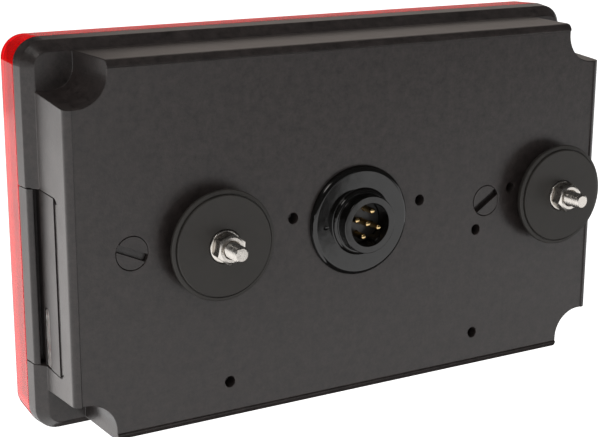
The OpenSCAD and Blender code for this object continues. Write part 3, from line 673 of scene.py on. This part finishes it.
def make_optics(values, red, amber, reflector):
    """Pillows inside the red and the amber part of the lens, and prisms inside the reflector."""
    wall, front_wall, joint = 0.0045, 0.0024, 0.0005
    pitch, rise = values.pillow, values.pillow_rise
    low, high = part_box("lens")
    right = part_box("amber_window")[0].x - joint
    region = (low.x + wall, low.z + wall, right, high.z - wall)
    sheet = pillow_sheet(region, high.y - front_wall - OPTIC_GAP, pitch, rise, 0.0004, off_other_parts())
    finished("lens_pillows", sheet, red, sharp=30.0)
    sheet = pillow_sheet(*window_back("amber_window"), pitch, rise, 0.0003)
    finished("amber_pillows", sheet, amber, sharp=30.0)
    sheet = corner_prisms(*window_back("reflex_reflector"), values.prism, 0.0003)
    finished("reflector_prisms", sheet, reflector, sharp=20.0)


class REARLAMP_OT_lens(bpy.types.Operator):
    """Finish the lens, the amber window, the reflector and the gasket, and add the optics inside them"""

    bl_idname = "rear_lamp.lens"
    bl_label = "Lens and windows"

    def execute(self, context):
        values = context.scene.rear_lamp_lens
        red = clear_resin("red_lens", values.red, 0.1, 0.02, 0.0002, 1.15)
        amber = clear_resin("amber_resin", values.amber, 0.05, 0.012, 0.0001)
        reflector = clear_resin("reflector_resin", values.reflector, 0.06, 0.012, 0.0001)
        dressed("lens", red, values.edge)
        dressed("amber_window", amber, values.edge)
        dressed("reflex_reflector", reflector, values.edge)
        dressed("lens_gasket", soft_rubber("gasket_rubber", (0.03, 0.03, 0.03), 0.7), 0.0002)
        make_optics(values, red, amber, reflector)
        return {"FINISHED"}


# Plug socket. Measures in mm.

def pin_places():
    """Middles of the five pins: one in the middle and four round it."""
    middle = (SOCKET_X, 0.0)
    return [middle] + arc(middle, PIN_CIRCLE, PIN_TURN, PIN_TURN + 270, 3)


def shell_body(rim_round):
    """Turned body of the socket: barrel, collar, flange with its sealing groove, and the part inside."""
    bore, barrel, collar, shank, flange = 8.3, 11.0, 12.6, 12.0, 21.0
    mouth, collar_top, flange_top, seat, inner_end = 8.1, 3.6, 2.0, -0.45, -8.0
    groove_in, groove_out, groove_top = 14.6, 16.9, 0.55
    outline = rounded([
        (bore, mouth, 0.12), (barrel, mouth, 0.35), (barrel, collar_top, 0.3), (collar, collar_top, 1.2),
        (collar, flange_top, 0.4), (flange, flange_top, rim_round), (flange, seat, 0.0),
        (groove_out, seat, 0.0), (groove_out, groove_top, 0.0), (groove_in, groove_top, 0.0),
        (groove_in, seat, 0.0), (shank, seat, 0.0), (shank, inner_end, 0.2), (bore, inner_end, 0.2)])
    bm = bmesh.new()
    turned(bm, outline, (SOCKET_X, 0.0), segments=160)
    return bm


def shell_dimple():
    """Flat ball that presses the small dimple into the flange."""
    half_sizes = (0.0013, 0.0006, 0.00085)
    place = Matrix.Translation(outward(SOCKET_X - 15.4, 2.15, -0.7))
    bm = bmesh.new()
    bmesh.ops.create_uvsphere(bm, u_segments=32, v_segments=16, radius=1.0)
    bmesh.ops.transform(bm, matrix=place @ Matrix.Diagonal((*half_sizes, 1)), verts=bm.verts)
    return bm


def shell_key():
    """Key inside the barrel that lets the plug in only one way round."""
    sizes, from_middle, turn, round_by = (0.0013, 0.0057, 0.0025), 0.00805, 58, 0.0002
    place = Matrix.Translation(outward(SOCKET_X, 4.05, 0.0)) @ Matrix.Rotation(math.radians(turn), 4, "Y")
    bm = block(sizes, place @ Matrix.Translation((from_middle, 0, 0)))
    bmesh.ops.bevel(bm, geom=bm.edges[:], offset=round_by, segments=2, affect="EDGES")
    return bm


def make_shell(material, rim_round):
    """Polished socket body with its dimple and key."""
    body = combined(shell_body(rim_round), shell_dimple(), "DIFFERENCE")
    body = combined(body, shell_key(), "UNION")
    level_faces(finished("socket_shell", body, material, ["socket_body"], 32.0))


def make_pins(material):
    """Five pins with domed tips, a ring near the insulator and a thinner tail."""
    pin, ring, tail, tail_end, tip = 1.15, 1.28, 0.9, -12.0, 7.2
    bm = bmesh.new()
    for place in pin_places():
        outline = [(0.0, tip)] + arc((0, tip - pin), pin, 90, 0, 8)[1:]
        outline += [(pin, 1.6), (ring, 1.45), (ring, 1.25), (pin, 1.1), (pin, -9.2), (tail, -9.2),
                    (tail, tail_end + 0.2), (tail - 0.2, tail_end), (0.0, tail_end)]
        turned(bm, outline, place, segments=40, closed=False)
    finished("contact_pins", bm, material, ["socket_pins"])


class REARLAMP_OT_socket(bpy.types.Operator):
    """Build the plug socket: polished body, insulator, five domed pins, seal and nut"""

    bl_idname = "rear_lamp.socket"
    bl_label = "Plug socket"

    def execute(self, context):
        values = context.scene.rear_lamp_socket
        gloss = gloss_plastic("socket_plastic", values.gloss, 0.09)
        insulator = moulded_plastic("insulator_plastic", values.insert, 0.3, 0.0003, 0.00001)
        brass = plated_metal("pin_brass", values.pin, 0.2, 0.2)
        make_shell(gloss, values.rim_round / MM)
        make_pins(brass)
        dressed("socket_insert", insulator, 0.0002)
        dressed("socket_seal", soft_rubber("seal_rubber", (0.03, 0.029, 0.028), 0.7), 0.0003)
        dressed("socket_nut", gloss, 0.0004)
        return {"FINISHED"}


# Pads, studs, washers and nuts. Measures in mm.

def threaded_bar(bm, centre, start, end, crest, depth, pitch, chamfer):
    """Bar with a single-start thread between two distances out of the back."""
    segments, steps_a_turn = 48, 12
    steps = round((end - start) / (pitch / steps_a_turn))
    rings = [[round_vert(bm, centre, 0, 0, start)]]
    for i in range(steps + 1):
        t = start + (end - start) * i / steps
        limit = crest - chamfer + min(chamfer, t - start, end - t)
        ring = []
        for k in range(segments):
            turn = k / segments
            phase = (t / pitch + turn) % 1.0
            slope = min(1.0, max(0.0, abs(phase - 0.5) * 2.5 - 0.12))
            r = min(crest - depth * slope, limit)
            ring.append(round_vert(bm, centre, r, 2 * math.pi * turn, t))
        rings.append(ring)
    rings.append([round_vert(bm, centre, 0, 0, end)])
    join_rings(bm, rings)


def hexagon(bm, centre, start, end, flats, bore, turn):
    """Hexagon nut or head with turned-off corners. Without a bore it is a solid head."""
    points_a_side, mouth_chamfer = 12, 0.45
    across = flats / 2
    face_r = across * 1.02 * 0.88
    mouth = bore + mouth_chamfer if bore else 0.0
    angles = [2 * math.pi * k / (6 * points_a_side) for k in range(6 * points_a_side)]

    def spot(a, r, t):
        return round_vert(bm, centre, r, a + math.radians(turn), t)

    rings = [[] for _ in range(6)]
    for a in angles:
        local = (a + math.pi / 6) % (math.pi / 3) - math.pi / 6
        edge = across / math.cos(local)
        drop = max(0.0, edge - face_r) * 0.5
        face = min(face_r, edge)
        sizes = [(mouth, start), (face, start), (edge, start + drop),
                 (edge, end - drop), (face, end), (mouth, end)]
        for ring, (r, t) in zip(rings, sizes):
            if r > 0:
                ring.append(spot(a, r, t))
    if bore:
        rings.append([spot(a, bore, end - mouth_chamfer) for a in angles])
        rings.append([spot(a, bore, start + mouth_chamfer) for a in angles])
        rings.append(rings[0])
    else:
        rings[0] = [spot(0, 0, start)]
        rings[-1] = [spot(0, 0, end)]
    join_rings(bm, rings)


def make_pad(side, x, material, soft):
    """Rubber pad: foot, disc with a fine groove round its raised face, holes and inner spigot."""
    foot, disc_back, disc, washer_hole, bore, spigot = 15.0, 19.0, 20.3, 6.15, 3.12, 6.05
    under, disc_low, seat, inner_end = -0.45, 3.1, 6.3, -2.1
    outline = rounded([
        (foot, under, 0.0), (foot, disc_low, 0.25), (disc_back, disc_low, soft), (disc, 5.4, soft),
        (disc, 6.5, soft), (18.95, 6.75, 0.1), (18.9, 6.35, 0.0), (18.6, 6.35, 0.0), (18.5, PLATE_Y, soft),
        (washer_hole, PLATE_Y, 0.3), (washer_hole, seat, 0.1), (bore, seat, 0.1), (bore, inner_end, 0.0),
        (spigot, inner_end, 0.2), (spigot, under, 0.0)])
    bm = bmesh.new()
    turned(bm, outline, (x, 0.0), segments=128)
    level_faces(finished("rubber_pad_" + side, bm, material, ["pad_" + side]))


def make_stud(side, x, material, pitch):
    """Threaded stud with a hexagon head inside the housing."""
    bm = bmesh.new()
    threaded_bar(bm, (x, 0.0), start=-6.9, end=20.0, crest=2.98, depth=0.55, pitch=pitch, chamfer=0.7)
    hexagon(bm, (x, 0.0), start=-11.0, end=-7.0, flats=10.0, bore=0, turn=0.0)
    finished("threaded_stud_" + side, bm, material, ["stud_" + side], 32.0)


def make_washers(material):
    """Plain washers, with the rounded edges of a stamping."""
    bore, rim, under, top = 3.2, 6.0, 6.3, 7.9
    bm = bmesh.new()
    for x in STUD_X:
        outline = rounded([(bore, under, 0.12), (rim, under, 0.2), (rim, top, 0.35), (bore, top, 0.2)], 3)
        turned(bm, outline, (x, 0.0))
    finished("plain_washers", bm, material, ["stud_washers"])


def make_nuts(material):
    """Hexagon nuts, each turned as it was tightened."""
    turns = (-9.0, -14.0)
    bm = bmesh.new()
    for x, turn in zip(STUD_X, turns):
        hexagon(bm, (x, 0.0), start=7.9, end=12.9, flats=10.0, bore=3.02, turn=turn)
    finished("hexagon_nuts", bm, material, ["stud_nuts"], 25.0)


class REARLAMP_OT_fixings(bpy.types.Operator):
    """Build the rubber pads, the threaded studs, the washers and the nuts"""

    bl_idname = "rear_lamp.fixings"
    bl_label = "Pads and studs"

    def execute(self, context):
        values = context.scene.rear_lamp_fixings
        rubber = soft_rubber("pad_rubber", values.rubber, 0.52)
        steel = plated_metal("zinc_plate", values.steel, 0.26, 0.2)
        for side, x in zip(("left", "right"), STUD_X):
            make_pad(side, x, rubber, values.pad_round / MM)
            make_stud(side, x, steel, values.thread_pitch / MM)
        make_washers(steel)
        make_nuts(steel)
        return {"FINISHED"}


# Bulbs. Measures in mm, heights from the lamp's middle.

def lowered(points):
    """Turns heights from the lamp's middle into heights of the row."""
    return [(r, t - STUD_LINE) for r, t in points]


def bulb_spot(x, height, forward=0.0):
    """Point near a bulb's middle line, in metres."""
    return Vector((x * MM, (BULB_Y + forward) * MM, (height - STUD_LINE) * MM))


def bulb_glass(bm, x, glass_r, top, waist):
    """Round glass shell that narrows into its cap."""
    wall, foot = 0.5, (7.2, -18.4)
    middle = top - glass_r
    start = math.degrees(math.asin((waist - middle) / glass_r))
    outer = [foot] + arc((0, middle), glass_r, start, 90, 18)
    outer[-1] = (0.0, top)
    inner = [(r - wall, t - wall / 2) if r > wall else (0.0, t - wall) for r, t in reversed(outer)]
    turned(bm, lowered(outer + inner), (x, BULB_Y), True, 64)


def bulb_cap(bm, x, feet):
    """Bayonet cap with its side pins and one or two foot contacts."""
    cap = [(0, -34.5), (5.6, -34.5), (6.6, -34.2), (7.4, -33.4), (7.5, -33.0), (7.5, -19.2), (7.4, -18.7),
           (7.1, -18.5), (0, -18.5)]
    turned(bm, lowered(cap), (x, BULB_Y), True, 64, closed=False)
    contact = [(0, -36.0), (1.1, -35.8), (1.5, -35.2), (1.7, -34.4), (0, -34.4)]
    for shift in feet:
        turned(bm, lowered(contact), (x + shift, BULB_Y), True, 24, closed=False)
    for side in (-1, 1):
        tube(bm, [bulb_spot(x + side * reach, -27) for reach in (6.9, 8.2, 8.5)], 0.001, 16)


def bulb_filament(bm, x, level, turns):
    """Coiled wire between two posts."""
    half, coil_r, steps = 4.2, 0.45, turns * 12
    for side in (-1, 1):
        post = ((2.0, -18.6), (2.4, -14), (half, level))
        tube(bm, [bulb_spot(x + side * reach, height) for reach, height in post], 0.0003, 8)
    path = []
    for i in range(steps + 1):
        s = i / steps
        a = 2 * math.pi * turns * s
        path.append(bulb_spot(x - half + 2 * half * s, level + coil_r * math.sin(a), coil_r * math.cos(a)))
    tube(bm, path, 0.00009, 5)


def make_bulbs(glass, nickel, tungsten, turns):
    """All bulbs. A glass is (radius, top, waist), and the feet are the places of its foot contacts."""
    small, large = (9.5, 0.0, -15.5), (13.25, 16.5, -0.75)
    bulbs = (("bulb_plate_light", small, (0,)), ("bulb_fog", large, (0,)),
             ("bulb_stop_tail", large, (-2.7, 2.7)), ("bulb_indicator", large, (0,)))
    filament_drop = 3
    glasses, caps, wires = bmesh.new(), bmesh.new(), bmesh.new()
    for node, (glass_r, top, waist), feet in bulbs:
        low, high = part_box(node)
        x = (low.x + high.x) / 2 / MM
        bulb_glass(glasses, x, glass_r, top, waist)
        bulb_cap(caps, x, feet)
        bulb_filament(wires, x, top - glass_r - filament_drop, turns)
    finished("bulb_glasses", glasses, glass, [bulb[0] for bulb in bulbs])
    finished("bulb_caps", caps, nickel)
    finished("filaments", wires, tungsten, sharp=60.0)


class REARLAMP_OT_light_unit(bpy.types.Operator):
    """Finish the tray, holders, strips, contacts, leads and screws, and build the bulbs"""

    bl_idname = "rear_lamp.light_unit"
    bl_label = "Bulbs and tray"

    def execute(self, context):
        values = context.scene.rear_lamp_lights
        white = moulded_plastic("tray_plastic", values.tray, 0.38, variation=0.04)
        brass = plated_metal("strip_brass", values.brass, 0.28, 0.3)
        nickel = plated_metal("cap_nickel", (0.66, 0.62, 0.55), 0.22, 0.2)
        tungsten = plated_metal("filament_wire", (0.35, 0.34, 0.33), 0.35, 0.2)
        sheath = moulded_plastic("lead_sheath_plastic", values.sheath, 0.4)
        steel = plated_metal("screw_steel", (0.7, 0.67, 0.6), 0.3, 0.25)
        glass = clear_resin("bulb_glass_clear", values.glass, 0.01, 0.03, 0.0001, 1.45)
        dressed("bulb_carrier", white, 0.0002)
        for node in ("holder_stop_tail", "holder_indicator", "holder_fog", "holder_plate_light",
                     "feed_contacts", "earth_strip", "plate_feed_strip", "holder_rivets"):
            dressed(node, brass, 0.0001)
        dressed("socket_leads", sheath)
        for node in ("lens_screws", "carrier_screws"):
            dressed(node, steel, 0.0002)
        make_bulbs(glass, nickel, tungsten, values.coil_turns)
        return {"FINISHED"}


# Stage. Measures in metres.

# Camera fitted to the photo: its right, up and back directions, its place, and the shift of its lens.
CAMERA_RIGHT = (0.86578773, -0.50039395, 0.00418281)
CAMERA_UP = (0.12537891, 0.22500908, 0.9662562)
CAMERA_BACK = (-0.48444993, -0.83604833, 0.25754895)
CAMERA_PLACE = (-0.291946, -0.425458, 0.138337)
CAMERA_SHIFT = (-0.0017, -0.00477)
# How pale the floor's paint is, and how strongly it shines by itself where it is seen.
FLOOR_WHITE = 0.85


def seen_directly(tree):
    """Value of 1 for camera, glossy and transmission rays, and 0 for all others."""
    path = tree.nodes.new("ShaderNodeLightPath").outputs
    total = path["Is Camera Ray"]
    for name in ("Is Glossy Ray", "Is Transmission Ray"):
        larger = add_node(tree, "ShaderNodeMath", {0: total, 1: path[name]})
        larger.operation = "MAXIMUM"
        total = larger.outputs[0]
    return total


def matt_paint(name, colour, roughness):
    """Plain matt material for the floor and the studio cards."""
    material = bpy.data.materials.new(name)
    material.use_nodes = True
    shader = material.node_tree.nodes["Principled BSDF"]
    shader.inputs["Base Color"].default_value = (*colour, 1)
    shader.inputs["Roughness"].default_value = roughness
    shader.inputs["Specular IOR Level"].default_value = 0.0
    return material


def stage_sheet(name, corner, across, along, material):
    """Flat four-sided sheet of the stage, from one corner and its two edges."""
    corner, across, along = map(Vector, (corner, across, along))
    bm = bmesh.new()
    spots = (corner, corner + across, corner + across + along, corner + along)
    bm.faces.new([bm.verts.new(spot) for spot in spots])
    sheet = new_object(name, bm)
    sheet.data.materials.append(material)
    return sheet


def make_floor(low):
    """Wide, flat, pale floor below the lamp, lifted to white where it is seen."""
    half = 4.0
    material = matt_paint("floor_paint", (FLOOR_WHITE,) * 3, 0.9)
    tree = material.node_tree
    shader = tree.nodes["Principled BSDF"]
    strength = add_node(tree, "ShaderNodeMath", {0: seen_directly(tree), 1: FLOOR_WHITE})
    strength.operation = "MULTIPLY"
    lift = add_node(tree, "ShaderNodeEmission", {"Strength": strength.outputs[0]})
    both = add_node(tree, "ShaderNodeAddShader", {0: shader.outputs[0], 1: lift.outputs[0]})
    tree.links.new(both.outputs[0], tree.nodes["Material Output"].inputs["Surface"])
    stage_sheet("floor", (-half, -half, low), (2 * half, 0, 0), (0, 2 * half, 0), material)


def make_world(scene, room):
    """White for what is seen directly, in gloss or through glass, and an even soft light for the rest."""
    world = bpy.data.worlds.new("white_room")
    world.use_nodes = True
    scene.world = world
    tree = world.node_tree
    background = tree.nodes["Background"].inputs
    background["Color"].default_value = (1, 1, 1, 1)
    level = add_node(tree, "ShaderNodeMix", {"Factor": seen_directly(tree), "A": room, "B": 1.0})
    tree.links.new(level.outputs["Result"], background["Strength"])


def make_lights(scene, values):
    """Soft square lights: one lies on the floor and shines up, and two aim at the lamp."""
    left, down = (-0.95, 1.25, 0.01 - values.floor_drop), (0, 0, -1)
    right, corner = (0.73, 1.13, 0.66), (-0.68, -0.32, 0.96)
    lights = (("left_light", left, down, 1.5, values.left_light, (1.0, 0.91, 0.87)),
              ("right_light", right, right, 0.8, values.right_light, (1.0, 0.88, 0.8)),
              ("corner_light", corner, corner, 0.34, values.corner_light, (1.0, 0.97, 0.94)))
    for name, place, rear, size, power, colour in lights:
        data = bpy.data.lights.new(name, "AREA")
        data.shape = "SQUARE"
        data.size = size
        data.energy = power
        data.color = colour
        lamp = bpy.data.objects.new(name, data)
        lamp.location = place
        lamp.rotation_euler = Vector(rear).to_track_quat("Z", "Y").to_euler()
        lamp.visible_camera = False
        scene.collection.objects.link(lamp)


def make_cards(low, flag_colour, card_colour):
    """Dark studio cards round the lamp and a grey one low behind it, seen only in gloss. The dark card on
    the floor right of the lamp is painted shadow: it stands for the lamp's own shadow on the floor.
    """
    cloth = matt_paint("flag_cloth", flag_colour, 1.0)
    grey = matt_paint("grey_card", card_colour, 1.0)
    room, top = 3.0, 2.25
    wide, deep = (2 * room, 0, 0), (0, 2 * room, 0)
    cards = (("near_flag", (0.3, -1.0, low), (0.285, 0, 0), (0, 0, 0.24), cloth),
             ("far_flag", (0.9, -1.7, low), (1.3, 0, 0), (0, 0, 0.94), cloth),
             ("left_flag", (-3.4, 2.4, -0.2), (2.9, 0.4, 0), (0, 0, 0.9), cloth),
             # Painted shadow: dark sheet on the floor right of the lamp that stands for the lamp's own
             # shadow there, seen only in gloss.
             ("painted_floor_shadow", (-0.1, -0.3, low + 0.02), (1.02, 0, 0), (0, 1.4, 0), cloth),
             ("front_wall_flag", (-room, -room, 0.25), wide, (0, 0, top - 0.25), cloth),
             ("rear_wall_flag", (-room, room, 0.3), wide, (0, 0, top - 0.3), cloth),
             ("left_wall_flag", (-room, -room, 0.25), deep, (0, 0, top - 0.25), cloth),
             ("right_wall_flag", (room, -room, 0.25), deep, (0, 0, top - 0.25), cloth),
             ("rear_card", (-room, room, low), wide, (0, 0, 0.3 - low), grey),
             ("ceiling_flag", (-room, -room, top), wide, deep, cloth))
    for name, corner, across, along, material in cards:
        card = stage_sheet(name, corner, across, along, material)
        for ray in ("camera", "diffuse", "transmission", "shadow"):
            setattr(card, "visible_" + ray, False)


def make_camera(scene, focal):
    """Camera at the place that the photo was taken from."""
    data = bpy.data.cameras.new("photo_camera")
    data.sensor_width = 36.0
    data.lens = focal
    data.shift_x, data.shift_y = CAMERA_SHIFT
    data.clip_start = 0.01
    camera = bpy.data.objects.new("photo_camera", data)
    turn = Matrix((CAMERA_RIGHT, CAMERA_UP, CAMERA_BACK)).transposed().to_4x4()
    camera.matrix_world = Matrix.Translation(CAMERA_PLACE) @ turn
    scene.collection.objects.link(camera)
    scene.camera = camera


class REARLAMP_OT_stage(bpy.types.Operator):
    """Set up the floor, the lights, the studio cards, the world and the camera"""

    bl_idname = "rear_lamp.stage"
    bl_label = "Floor, lights and camera"

    def execute(self, context):
        scene = context.scene
        values = scene.rear_lamp_stage
        make_floor(-values.floor_drop)
        make_world(scene, values.room)
        make_lights(scene, values)
        make_cards(-values.floor_drop, values.flag, values.card)
        make_camera(scene, values.focal)
        scene.view_settings.view_transform = "Standard"
        return {"FINISHED"}


BUILDERS = (
    REARLAMP_OT_housing,
    REARLAMP_OT_lens,
    REARLAMP_OT_socket,
    REARLAMP_OT_fixings,
    REARLAMP_OT_light_unit,
    REARLAMP_OT_stage,
)


class REARLAMP_PT_panel(bpy.types.Panel):
    """Sidebar panel with the builders and their settings"""

    bl_idname = "REARLAMP_PT_panel"
    bl_label = "Rear lamp"
    bl_space_type = "VIEW_3D"
    bl_region_type = "UI"
    bl_category = "Rear lamp"

    def draw(self, context):
        layout = self.layout
        for builder in BUILDERS:
            layout.operator(builder.bl_idname)
        for name in SETTINGS:
            group = getattr(context.scene, name)
            box = layout.box()
            for key in group.__annotations__:
                box.prop(group, key)


def register():
    """Registers the settings, the operators and the panel."""
    for name, group in SETTINGS.items():
        bpy.utils.register_class(group)
        setattr(bpy.types.Scene, name, PointerProperty(type=group))
    for cls in (*BUILDERS, REARLAMP_PT_panel):
        bpy.utils.register_class(cls)


def unregister():
    """Takes the panel, the operators and the settings away again."""
    for cls in (REARLAMP_PT_panel, *reversed(BUILDERS)):
        bpy.utils.unregister_class(cls)
    for name, group in SETTINGS.items():
        delattr(bpy.types.Scene, name)
        bpy.utils.unregister_class(group)


def main():
    """Builds the whole lamp and its stage."""
    register()
    bpy.ops.rear_lamp.housing()
    bpy.ops.rear_lamp.lens()
    bpy.ops.rear_lamp.socket()
    bpy.ops.rear_lamp.fixings()
    bpy.ops.rear_lamp.light_unit()
    bpy.ops.rear_lamp.stage()


if __name__ == "__main__":
    main()
